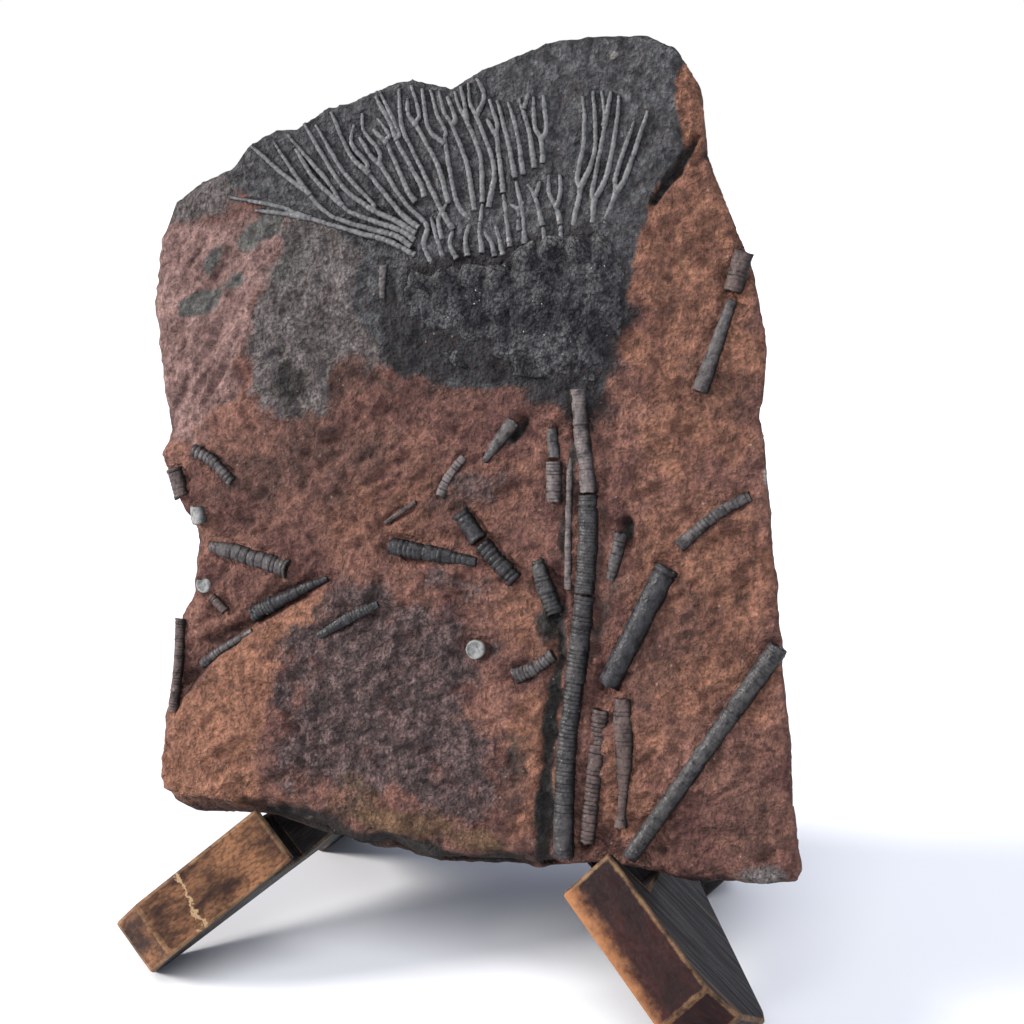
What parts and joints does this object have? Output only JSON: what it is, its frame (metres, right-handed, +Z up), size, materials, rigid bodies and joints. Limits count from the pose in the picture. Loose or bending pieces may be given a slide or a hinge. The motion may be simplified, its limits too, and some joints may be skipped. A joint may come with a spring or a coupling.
{
  "type": "crinoid fossil",
  "caption": "Crinoid crown, stem and loose stem lengths in relief on a red-brown rock slab, leaning in a crossed wooden board stand.",
  "frame": {"origin": "bottom centre of the whole, on the surface that it stands on", "axes": "+Z up, front of the slab towards -Y, +X to the viewer's right"},
  "size_m": [0.2234, 0.133, 0.2987],
  "materials": {
    "matrix": "rough, dry sandy mudstone with purple-brown and orange-brown mottling",
    "cup": "rough, charcoal, gritty",
    "arms": "matt slate grey, finely jointed",
    "stems": "matt charcoal, finely ribbed",
    "columnal_disc": "matt pale grey",
    "stand_wood": "dark stained, satin, worn pale along the edges"
  },
  "bodies": {
    "root": {"main_stem_1": "stems", "main_stem_2": "stems", "main_stem_3": "stems", "side_stem": "stems", "lower_stem": "stems", "tapered_stem": "stems", "thick_diagonal_stem": "stems", "long_right_stem": "stems", "slate_stem": "stems", "right_tapered_stem": "stems", "right_edge_stem": "stems", "upper_short_stem": "stems", "black_ribbed_stem": "stems", "thick_ribbed_stem": "stems", "thick_ribbed_stem_end": "stems", "ribbed_rough_stem": "stems", "narrow_centre_stem": "stems", "broken_centre_stem": "stems", "hollow_edge_stem": "stems", "small_ribbed_stem": "stems", "left_edge_stem": "stems", "arched_ribbed_stem": "stems", "pale_stump": "stems", "left_ribbed_stem": "stems", "small_left_stem": "stems", "forked_left_stem": "stems", "slender_lower_stem": "stems", "left_margin_stem": "stems", "centre_columnal_disc": "columnal_disc", "left_columnal_disc": "columnal_disc", "matrix_slab": "matrix", "crown_cup": "cup", "arm_01": "arms", "arm_02": "arms", "arm_03": "arms", "arm_04": "arms", "arm_05": "arms", "arm_06": "arms", "arm_07": "arms", "arm_08": "arms", "arm_09": "arms", "arm_10": "arms", "arm_11": "arms", "arm_12": "arms", "arm_13": "arms", "arm_14": "arms", "arm_15": "arms", "arm_16": "arms", "arm_17": "arms", "arm_18": "arms", "arm_19": "arms", "arm_20": "arms", "arm_21": "arms", "arm_22": "arms", "arm_23": "arms", "arm_24": "arms", "arm_25": "arms", "stand_left_board": "stand_wood", "stand_right_board": "stand_wood"}
  },
  "joints": []
}
